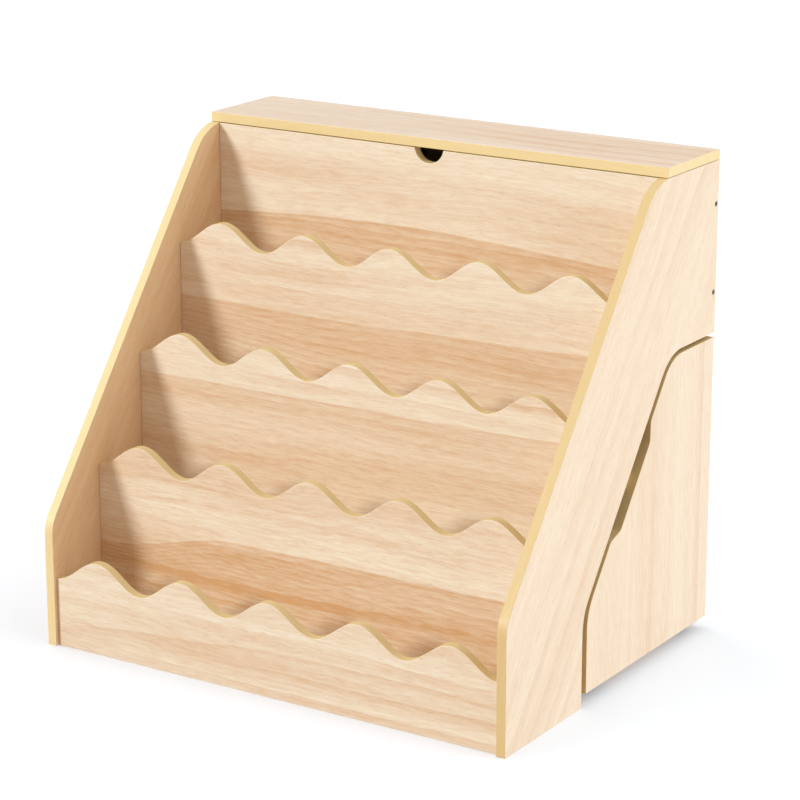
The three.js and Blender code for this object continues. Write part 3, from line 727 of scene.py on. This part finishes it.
def refill(solid, faces, way, broad_axis):
    """Fills the space inside the strip anew, so that no long face crosses a bore's strip."""
    kind = faces[0].material_index
    chosen = set(faces)
    lines = {line for side in faces for line in side.edges}
    outline = [line for line in lines if len(chosen.intersection(line.link_faces)) == 1]
    inside = [line for line in lines if line not in outline]
    bmesh.ops.delete(solid, geom=faces, context="FACES_ONLY")
    bmesh.ops.delete(solid, geom=[line for line in inside if line.is_valid], context="EDGES")
    made = bmesh.ops.triangle_fill(solid, use_beauty=True, use_dissolve=False, edges=outline)
    for side in made["geom"]:
        if isinstance(side, bmesh.types.BMFace):
            side.material_index = kind
            side.normal_update()
            if side.normal[broad_axis] * way < 0:
                side.normal_flip()


def board(name, node, body, broad_axis, face, band, far_face=None):
    """A board with rounded arrises, foil on its broad sides and banding on its edges."""
    solid = merged_copy(node)
    far_kind = FAR_KIND if far_face else FACE_KIND
    broad = sort_faces(solid, node, broad_axis, far_kind)
    fade_layer = solid.verts.layers.float.new("edge_fade")
    bmesh.ops.inset_region(solid, faces=broad, thickness=BOARD_STRIP, use_even_offset=True)
    near_half = [side for side in broad if side.normal[broad_axis] > 0]
    far_half = [side for side in broad if side.normal[broad_axis] < 0]
    refill(solid, near_half, 1, broad_axis)
    refill(solid, far_half, -1, broad_axis)
    for corner in solid.verts:
        kinds = {side.material_index for side in corner.link_faces}
        corner[fade_layer] = 1.0 if BAND_KIND in kinds else 0.0
    materials = [face, band, far_face] if far_face else [face, band]
    piece = piece_from_solid(name, solid, materials)
    dress(round_arris(piece), body, [node])
    print(name, "has", len(piece.data.polygons), "faces")


# %% [markdown]
# ## The stand's boards
# Grain runs along the long boards and up the slope on the side panels, as on a cut that follows
# the longest edge. The side panels are the palest outside, with a paler copy of the foil that is
# painted light for their bright outer faces. The left one's inner face is tanner, painted shade
# for its dim side, so it has a foil of its own. The lid is slightly greyed, painted light for the
# duller, cooler light on its top, and the backrest has a flame band that is partly painted shade.

# %% Make the stand's boards
SIDEWAYS, UPRIGHT, LEVEL = 0, 1, 2

# Painted shade in part: the backrest's warm band lies low, in the pocket behind the fourth rail.
BACK_FLAME_AND_SHADE = (0.604, -0.019, -0.150, -0.62, 0.060, 0.60, 0.60)
# Painted shade: a tanner copy of the foil for the left panel's inner face, which lies in shade.
TAN = (0.800, 0.590, 0.365, 1)
# Painted light: a paler copy of the foil, for outer faces as brightly lit as the right one.
PALE_FOR_LIT_SIDES = (0.905, 0.788, 0.608, 1)
# Painted light: the lid's foil greyed for the duller, cooler light on its top.
GREY_FOR_TOP_LIGHT = (0.860, 0.775, 0.660, 1)
side_foil = laminate("laminate_side_right", UP_SLOPE, OFF_SLOPE, 2.3, contrast=0.5, pale=PALE_FOR_LIT_SIDES)
left_inner_shaded_foil = laminate("laminate_side_left", UP_SLOPE, OFF_SLOPE, 8.1, contrast=1.3, pale=TAN)
back_foil = laminate("laminate_backrest", AXIS_X, AXIS_Z, 12.4, BACK_FLAME_AND_SHADE)
lid_foil = laminate("laminate_lid", AXIS_X, AXIS_Y, 5.6, contrast=0.8, pale=GREY_FOR_TOP_LIGHT)
floor_foil = laminate("laminate_floors", AXIS_X, AXIS_Y, 9.9)
rear_foil = laminate("laminate_rear", AXIS_X, AXIS_Z, 15.2)

board("right_side_board", "side_panel_right", "stand", SIDEWAYS, side_foil, band_right_shaded)
board("left_side_board", "side_panel_left", "stand", SIDEWAYS, left_inner_shaded_foil, band_left, side_foil)
board("backrest_board", "backrest_panel", "stand", UPRIGHT, back_foil, band_across)
board("rear_board", "rear_panel", "stand", UPRIGHT, rear_foil, band_across)
board("lid_board", "lid", "lid", LEVEL, lid_foil, band_across)
board("compartment_floor_board", "compartment_base", "stand", LEVEL, floor_foil, band_across)
for number in FLAME_AND_SHADE_LINES:
    board(f"pocket_floor_{number}", f"shelf_{number}", "stand", LEVEL, floor_foil, band_across)

# %% [markdown]
# ## The cart's boards
# The cart's outer end is a cut-out piece of the same sheet, but its grain stands upright, and a
# pale strip runs down its rear edge. The inner boards are only seen when the cart is pulled out.

# %% Make the cart's boards
PALE_STRIP_FROM = 0.265
# Painted light: the cart's ends use the paler copy of the foil made for brightly lit outer faces.
end_foil = laminate(
    "laminate_cart_end", AXIS_Z, AXIS_Y, 3.4, contrast=0.5, pale=PALE_FOR_LIT_SIDES, strip=PALE_STRIP_FROM
)
cart_foil = laminate("laminate_cart_inside", AXIS_X, AXIS_Y, 6.7)
upright_foil = laminate("laminate_cart_uprights", AXIS_X, AXIS_Z, 11.8)

board("cart_outer_end_board", "cart_end_right", "cart", SIDEWAYS, end_foil, band_right_shaded)
board("cart_inner_end_board", "cart_end_left", "cart", SIDEWAYS, end_foil, band_right_shaded)
board("cart_back_board", "cart_back", "cart", UPRIGHT, upright_foil, band_across)
board("cart_low_rail_board", "cart_rail_low", "cart", UPRIGHT, upright_foil, band_across)
board("cart_high_rail_board", "cart_rail_high", "cart", UPRIGHT, upright_foil, band_across)
board("cart_floor_board", "cart_floor", "cart", LEVEL, cart_foil, band_across)
board("cart_shelf_board", "cart_shelf", "cart", LEVEL, cart_foil, band_across)

# %% [markdown]
# ## Metals and the wheels' plastic
# The hinges and casters are zinc plated: bright, slightly blue, with cloudy roughness. The
# connecting screws are dull grey steel. The wheels are hard plastic with a fine moulded grain.

# %% Make the metals and the plastic
def noise(tree, place, scale, detail):
    """Plain noise with this many patches to the metre."""
    inputs = {"Vector": place, "Scale": scale, "Detail": detail}
    return add_node(tree, "ShaderNodeTexNoise", inputs).outputs[0]


def plated(name, light, dark, roughness, cloud_scale):
    """A plated metal with cloudy gloss and a fine grit."""
    material, tree, shader, place = new_material(name)
    clouds = noise(tree, place, cloud_scale, 4.0)
    color = mixed(tree, stepped(tree, clouds, 0.3, 0.7), light, dark)
    tree.links.new(color, shader.inputs["Base Color"])
    rough = maths(tree, "MULTIPLY_ADD", clouds, 0.25, roughness)
    tree.links.new(rough, shader.inputs["Roughness"])
    shader.inputs["Metallic"].default_value = 1.0
    add_bump(tree, shader, noise(tree, place, 2400.0, 2.0), 0.15, 0.00005)
    return material


def moulded(name, light, dark):
    """Hard plastic with a moulded grain and a dusty bloom."""
    material, tree, shader, place = new_material(name)
    dust = noise(tree, place, 90.0, 4.0)
    color = mixed(tree, stepped(tree, dust, 0.45, 0.8), dark, light)
    tree.links.new(color, shader.inputs["Base Color"])
    tree.links.new(maths(tree, "MULTIPLY_ADD", dust, 0.3, 0.35), shader.inputs["Roughness"])
    add_bump(tree, shader, noise(tree, place, 1500.0, 2.0), 0.2, 0.0001)
    return material


zinc = plated("zinc_plate", (0.62, 0.64, 0.67, 1), (0.48, 0.50, 0.53, 1), 0.22, 160.0)
dull_steel = plated("dull_steel", (0.30, 0.275, 0.25, 1), (0.17, 0.155, 0.14, 1), 0.30, 220.0)
nylon = moulded("wheel_nylon", (0.075, 0.075, 0.08, 1), (0.022, 0.022, 0.024, 1))
print("metals:", zinc.name, dull_steel.name, "plastic:", nylon.name)

# %% [markdown]
# ## Screws with geometry nodes
# Screws repeat: two connectors in each side panel, three in every hinge leaf, four under every
# caster plate. One tree makes them all. It cuts a socket with few sides out of a turned head and
# sets the screw on the points of a small grid, which two counts and two steps describe.

# %% Build the screw tree
screw_tree, given, result = new_group(
    "Screw Grid",
    "GeometryNodeTree",
    [
        ("Start", VECTOR),
        ("Turn", VECTOR),
        ("Count", INTEGER),
        ("Step", VECTOR),
        ("Second Count", INTEGER),
        ("Second Step", VECTOR),
        ("Head Radius", FLOAT),
        ("Head Length", FLOAT),
        ("Shank Radius", FLOAT),
        ("Length", FLOAT),
        ("Socket Sides", INTEGER),
        ("Socket Radius", FLOAT),
        ("Socket Depth", FLOAT),
        ("Material", MATERIAL),
    ],
    [("Geometry", GEOMETRY)],
)
HEAD_SIDES = 24
SHANK_SIDES = 16
CUTTER_RISE = 0.001


def disc_along_z(radius, length, sides, top):
    """A cylinder from this height downwards, for one of the screw's parts."""
    body = add_node(
        screw_tree,
        "GeometryNodeMeshCylinder",
        {"Vertices": sides, "Radius": radius, "Depth": length},
    )
    middle = maths(screw_tree, "MULTIPLY_ADD", length, -0.5, top)
    shift = add_node(screw_tree, "ShaderNodeCombineXYZ", {2: middle}).outputs[0]
    moved = add_node(
        screw_tree,
        "GeometryNodeTransform",
        {"Geometry": body.outputs["Mesh"], "Translation": shift},
    )
    return moved.outputs[0]


size = given.outputs
head = disc_along_z(size["Head Radius"], size["Head Length"], HEAD_SIDES, 0.0)
shank_top = maths(screw_tree, "MULTIPLY", size["Head Length"], -0.5)
shank_length = maths(screw_tree, "ADD", size["Length"], shank_top)
shank = disc_along_z(size["Shank Radius"], shank_length, SHANK_SIDES, shank_top)
cutter_length = maths(screw_tree, "ADD", size["Socket Depth"], CUTTER_RISE)
cutter = disc_along_z(size["Socket Radius"], cutter_length, size["Socket Sides"], CUTTER_RISE)
whole_screw = add_node(screw_tree, "GeometryNodeMeshBoolean", operation="UNION", solver="EXACT")
screw_tree.links.new(head, whole_screw.inputs["Mesh 2"])
screw_tree.links.new(shank, whole_screw.inputs["Mesh 2"])
socketed = add_node(
    screw_tree,
    "GeometryNodeMeshBoolean",
    {"Mesh 1": whole_screw.outputs[0], "Mesh 2": cutter},
    operation="DIFFERENCE",
    solver="EXACT",
)
row = add_node(
    screw_tree,
    "GeometryNodeMeshLine",
    {"Count": size["Count"], "Start Location": size["Start"], "Offset": size["Step"]},
)
second_row = add_node(
    screw_tree,
    "GeometryNodeMeshLine",
    {"Count": size["Second Count"], "Offset": size["Second Step"]},
)
rows = add_node(
    screw_tree,
    "GeometryNodeInstanceOnPoints",
    {"Points": second_row.outputs[0], "Instance": row.outputs[0]},
)
places = add_node(screw_tree, "GeometryNodeRealizeInstances", {"Geometry": rows.outputs[0]})
screws = add_node(
    screw_tree,
    "GeometryNodeInstanceOnPoints",
    {"Points": places.outputs[0], "Instance": socketed.outputs[0], "Rotation": size["Turn"]},
)
real = add_node(screw_tree, "GeometryNodeRealizeInstances", {"Geometry": screws.outputs[0]})
finished = add_node(
    screw_tree,
    "GeometryNodeSetMaterial",
    {"Geometry": real.outputs[0], "Material": size["Material"]},
)
screw_tree.links.new(finished.outputs[0], result.inputs[0])
print("screw tree:", len(screw_tree.nodes), "nodes")

# %% [markdown]
# ## The connecting screws
# Two screws on each side hold the rear panel. They sit a little below the foil, so the bore's
# wall shows as a dark crescent. Their places come from the CAD screws.

# %% Make the connecting screws
SMALL_ARRIS = 0.0002
SMALL_SEGMENTS = 2
SHANK_SHARE = 0.6
CONNECTOR_HEAD = 0.0032
CONNECTOR_SOCKET_RADIUS = 0.0023
CONNECTOR_SOCKET_DEPTH = 0.0022
for side, turned in (("right", math.pi / 2), ("left", -math.pi / 2)):
    nodes = [f"screw_{side}_1", f"screw_{side}_2"]
    first_low, first_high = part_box(nodes[0])
    second_low, second_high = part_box(nodes[1])
    outer = first_high.x if side == "right" else first_low.x
    middle = (first_low + first_high) / 2
    step = (second_low + second_high) / 2 - middle
    radius = (first_high.z - first_low.z) / 2
    piece = run_tree(
        f"connecting_screws_{side}",
        screw_tree,
        {
            "Start": (outer, middle.y, middle.z),
            "Turn": (0, turned, 0),
            "Count": 2,
            "Step": tuple(step),
            "Second Count": 1,
            "Head Radius": radius,
            "Head Length": CONNECTOR_HEAD,
            "Shank Radius": radius * SHANK_SHARE,
            "Length": first_high.x - first_low.x,
            "Socket Sides": 6,
            "Socket Radius": CONNECTOR_SOCKET_RADIUS,
            "Socket Depth": CONNECTOR_SOCKET_DEPTH,
            "Material": dull_steel,
        },
    )
    dress(round_arris(piece, SMALL_ARRIS, SMALL_SEGMENTS), "stand", nodes)
    print(piece.name, "has", len(piece.data.polygons), "faces")

# %% [markdown]
# ## Smaller metal parts
# Hinges, forks and caster plates have the right shape in the CAD model already. A merged copy
# with rounded edges and the plated finish is enough for them.

# %% Define a plated copy
def plated_copy(node, body, width):
    """A merged copy of a CAD node with rounded edges and the zinc finish."""
    solid = merged_copy(node)
    for side in solid.faces:
        side.material_index = 0
    piece = piece_from_solid(f"{node}_plated", solid, [zinc])
    return dress(round_arris(piece, width, SMALL_SEGMENTS), body, [node])


print("plated copies get", SMALL_SEGMENTS, "segments at each edge")

# %% [markdown]
# ## The hinges
# Each of the two butt hinges has a leaf on the body, a leaf on the lid and a pin. The pin stays
# with the body's leaf, and only the lid's leaf turns.

# %% Make the hinges
HINGE_ARRIS = 0.00012
for side in ("left", "right"):
    for part, body in (("body_leaf", "stand"), ("lid_leaf", "lid"), ("pin", "stand")):
        piece = plated_copy(f"hinge_{side}_{part}", body, HINGE_ARRIS)
        print(piece.name, "has", len(piece.data.polygons), "faces")

# %% [markdown]
# ## The hinge screws
# Three small screws hold each leaf. They point down into the body or up into the lid, and their
# heads stand a hair proud of the leaf, so that no two faces lie in one plane. The casters use
# the same screw.

# %% Add the hinge screws
LEAF_REACH = 0.013
SCREW_SPACING = 0.02
HALF_LEAF_GAP = 0.00015
PROUD = 0.00005
SMALL_SCREW = {
    "Head Radius": 0.0021,
    "Head Length": 0.0006,
    "Shank Radius": 0.0011,
    "Length": 0.008,
    "Socket Sides": 4,
    "Socket Radius": 0.0010,
    "Socket Depth": 0.0004,
    "Material": zinc,
}
for side in ("left", "right"):
    leaf_low, leaf_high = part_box(f"hinge_{side}_body_leaf")
    between = (leaf_low.z + leaf_high.z) / 2
    middle = (leaf_low.x + leaf_high.x) / 2
    for part, body, way, turned in (("body", "stand", -1, 0.0), ("lid", "lid", 1, math.pi)):
        height = between + way * (HALF_LEAF_GAP - PROUD)
        values = dict(SMALL_SCREW)
        values["Start"] = (middle - SCREW_SPACING, leaf_low.y + LEAF_REACH / 2, height)
        values["Turn"] = (turned, 0, 0)
        values["Count"] = 3
        values["Step"] = (SCREW_SPACING, 0, 0)
        values["Second Count"] = 1
        piece = run_tree(f"hinge_{side}_{part}_screws", screw_tree, values)
        dress(piece, body, [])
        print(piece.name, "has", len(piece.data.polygons), "faces")

# %% [markdown]
# ## The casters' wheels
# A wheel is turned: a rounded tread, a recessed web and a hub. Its section is closed, so it is
# built ring by ring from one profile, whose numbers are shares of the radius and of half the
# width.

# %% Define a wheel
WHEEL_RINGS = 56
WHEEL_OUTLINE = [
    (0.17, 1.0), (0.33, 1.0), (0.37, 0.9), (0.38, 0.62), (0.42, 0.55), (0.68, 0.55),
    (0.73, 0.62), (0.75, 0.85), (0.79, 0.92), (0.88, 0.88), (0.96, 0.72), (0.995, 0.45),
    (1.0, 0.15),
]
WHEEL_PROFILE = WHEEL_OUTLINE + [(share, -offset) for share, offset in reversed(WHEEL_OUTLINE)]


def turned_wheel(name, node, body):
    """A wheel about a Y axle, from the closed profile."""
    low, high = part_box(node)
    centre = (low + high) / 2
    radius = (high.z - low.z) / 2
    half = (high.y - low.y) / 2
    solid = bmesh.new()
    rings = []
    for index in range(WHEEL_RINGS):
        angle = 2 * math.pi * index / WHEEL_RINGS
        out = Vector((math.cos(angle), 0, math.sin(angle))) * radius
        side = Vector((0, half, 0))
        ring = [
            solid.verts.new(centre + out * share + side * offset)
            for share, offset in WHEEL_PROFILE
        ]
        rings.append(ring)
    for index, ring in enumerate(rings):
        following = rings[(index + 1) % WHEEL_RINGS]
        for spot in range(len(ring)):
            after = (spot + 1) % len(ring)
            solid.faces.new((ring[spot], ring[after], following[after], following[spot]))
    bmesh.ops.recalc_face_normals(solid, faces=solid.faces)
    piece = piece_from_solid(name, solid, [nylon])
    arris = round_arris(piece, SMALL_ARRIS, SMALL_SEGMENTS)
    return dress(arris, body, [node])


print("wheel profile:", len(WHEEL_PROFILE), "points")

# %% [markdown]
# ## The casters
# A caster is a plate with four screws, a fork that swivels under it, an axle that turns with the
# fork, and the wheel. The screws point up into the cart's floor.

# %% Make the casters
PLATE_SHEET = 0.0018
PLATE_SCREW_INSET = 0.006
CASTER_ARRIS = 0.0003

for row_name in ("front", "rear"):
    for side in ("left", "right"):
        caster = f"caster_{row_name}_{side}"
        plate_low, plate_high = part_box(f"{caster}_plate")
        spacing = plate_high.x - plate_low.x - 2 * PLATE_SCREW_INSET
        values = dict(SMALL_SCREW)
        values["Start"] = (
            plate_low.x + PLATE_SCREW_INSET,
            plate_low.y + PLATE_SCREW_INSET,
            plate_high.z - PLATE_SHEET - PROUD,
        )
        values["Turn"] = (math.pi, 0, 0)
        values["Count"] = 2
        values["Step"] = (spacing, 0, 0)
        values["Second Count"] = 2
        values["Second Step"] = (0, spacing, 0)
        dress(run_tree(f"{caster}_screws", screw_tree, values), "cart", [])
        plated_copy(f"{caster}_plate", "cart", CASTER_ARRIS)
        plated_copy(f"{caster}_fork", f"{caster}_fork", CASTER_ARRIS)
        plated_copy(f"{caster}_axle", f"{caster}_fork", SMALL_ARRIS)
        wheel = turned_wheel(f"{caster}_tyre", f"{caster}_wheel", f"{caster}_wheel")
        print(caster, "wheel has", len(wheel.data.polygons), "faces")

# %% [markdown]
# ## The studio floor
# The floor is plain white and a little emissive, so it stays near white beside the lit boards.
# Its bounce would tint the boards from below, so diffuse rays don't see it.

# %% Make the floor
FLOOR_HALF = 16.0
corners = [(-1, -1), (1, -1), (1, 1), (-1, 1)]
floor_mesh = bpy.data.meshes.new("studio_floor")
floor_mesh.from_pydata([(x * FLOOR_HALF, y * FLOOR_HALF, 0) for x, y in corners], [], [(0, 1, 2, 3)])
floor_paint = bpy.data.materials.new("studio_floor")
floor_paint.use_nodes = True
floor_shader = floor_paint.node_tree.nodes["Principled BSDF"]
floor_shader.inputs["Base Color"].default_value = (0.93, 0.94, 0.955, 1)
floor_shader.inputs["Roughness"].default_value = 0.9
floor_shader.inputs["Specular IOR Level"].default_value = 0.0
floor_shader.inputs["Emission Color"].default_value = (0.30, 0.585, 0.85, 1)
floor_shader.inputs["Emission Strength"].default_value = 0.2
floor_mesh.materials.append(floor_paint)
floor = piece_from_mesh("studio_floor", floor_mesh)
floor.visible_diffuse = False
floor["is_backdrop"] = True
print("floor is", 2 * FLOOR_HALF, "m wide")

# %% [markdown]
# ## The surround
# The surround is stronger on the right and behind, so the outer right panel is the brightest
# board, while the inside of the left one stays warm and dim. The camera itself sees plain white.

# %% Make the surround
BRIGHT_SIDE = Vector((0.80, 0.60, 0.05)).normalized()
WARM_ROOM = (1.0, 0.74, 0.58, 1)
COOL_SKY = (0.94, 0.97, 1.0, 1)
ROOM_STRENGTH = 0.43
SIDE_STRENGTH = 1.54
TOP_STRENGTH = 0.22

surround = bpy.data.worlds.new("studio_surround")
surround.use_nodes = True
sky = surround.node_tree
ray = add_node(sky, "ShaderNodeTexCoord").outputs["Generated"]
facing = distance_along(sky, ray, tuple(BRIGHT_SIDE))
height = add_node(sky, "ShaderNodeSeparateXYZ", {0: ray}).outputs[2]
right_part = stepped(sky, facing, 0.05, 0.95)
upper_part = stepped(sky, height, 0.45, 1.0)
bright = maths(sky, "MULTIPLY_ADD", right_part, SIDE_STRENGTH, ROOM_STRENGTH)
bright = maths(sky, "MULTIPLY_ADD", upper_part, TOP_STRENGTH, bright)
neutral = maths(sky, "ADD", right_part, upper_part, clamp=True)
background = sky.nodes["Background"]
sky.links.new(bright, background.inputs["Strength"])
sky.links.new(mixed(sky, neutral, WARM_ROOM, COOL_SKY), background.inputs["Color"])
white = add_node(sky, "ShaderNodeBackground", {"Color": (1, 1, 1, 1), "Strength": 1.0})
seen = add_node(sky, "ShaderNodeLightPath").outputs["Is Camera Ray"]
shown = add_node(
    sky, "ShaderNodeMixShader", {0: seen, 1: background.outputs[0], 2: white.outputs[0]}
)
sky.links.new(shown.outputs[0], sky.nodes["World Output"].inputs["Surface"])
scene.world = surround
print("surround:", len(sky.nodes), "nodes")

# %% [markdown]
# ## The key light
# A soft key from the front left throws the left panel's shadow on the rails. The floor has a
# very soft light of its own from the left, by light linking, so it keeps only a contact shadow
# and not the key's long one.

# %% Make the lamps
LAMP_DISTANCE = 3.0
LAMP_GLOSS = 0.35


def sun(name, turn, rise, softness, energy, color):
    """A sun lamp that shines from this turn and rise, in degrees."""
    data = bpy.data.lights.new(name, "SUN")
    data.angle = math.radians(softness)
    data.energy = energy
    data.color = color
    data.specular_factor = LAMP_GLOSS
    made = bpy.data.objects.new(name, data)
    around = math.radians(turn)
    above = math.radians(rise)
    level = math.cos(above)
    back = Vector((math.sin(around) * level, -math.cos(around) * level, math.sin(above)))
    made.location = back * LAMP_DISTANCE
    made.rotation_mode = "QUATERNION"
    made.rotation_quaternion = (-back).to_track_quat("-Z", "Y")
    scene.collection.objects.link(made)
    return made


key_light = sun("key_light", -36, 24, 16, 2.24, (0.975, 0.998, 0.99))
floor_light = sun("floor_light", -75, 50, 70, 1.35, (1, 1, 1))

for lamp, link in ((key_light, "EXCLUDE"), (floor_light, "INCLUDE")):
    receivers = bpy.data.collections.new(f"{lamp.name}_receivers")
    receivers.objects.link(floor)
    receivers.collection_objects[0].light_linking.link_state = link
    lamp.light_linking.receiver_collection = receivers
scene.view_settings.view_transform = "Standard"
print("key light at", tuple(round(part, 2) for part in key_light.location))

# %% [markdown]
# ## Measure the size
# The dressed stand's size is measured over its shown pieces, without the floor, and printed.

# %% Measure and finish
low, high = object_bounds()
print("size:", [round(part, 4) for part in (high - low)])
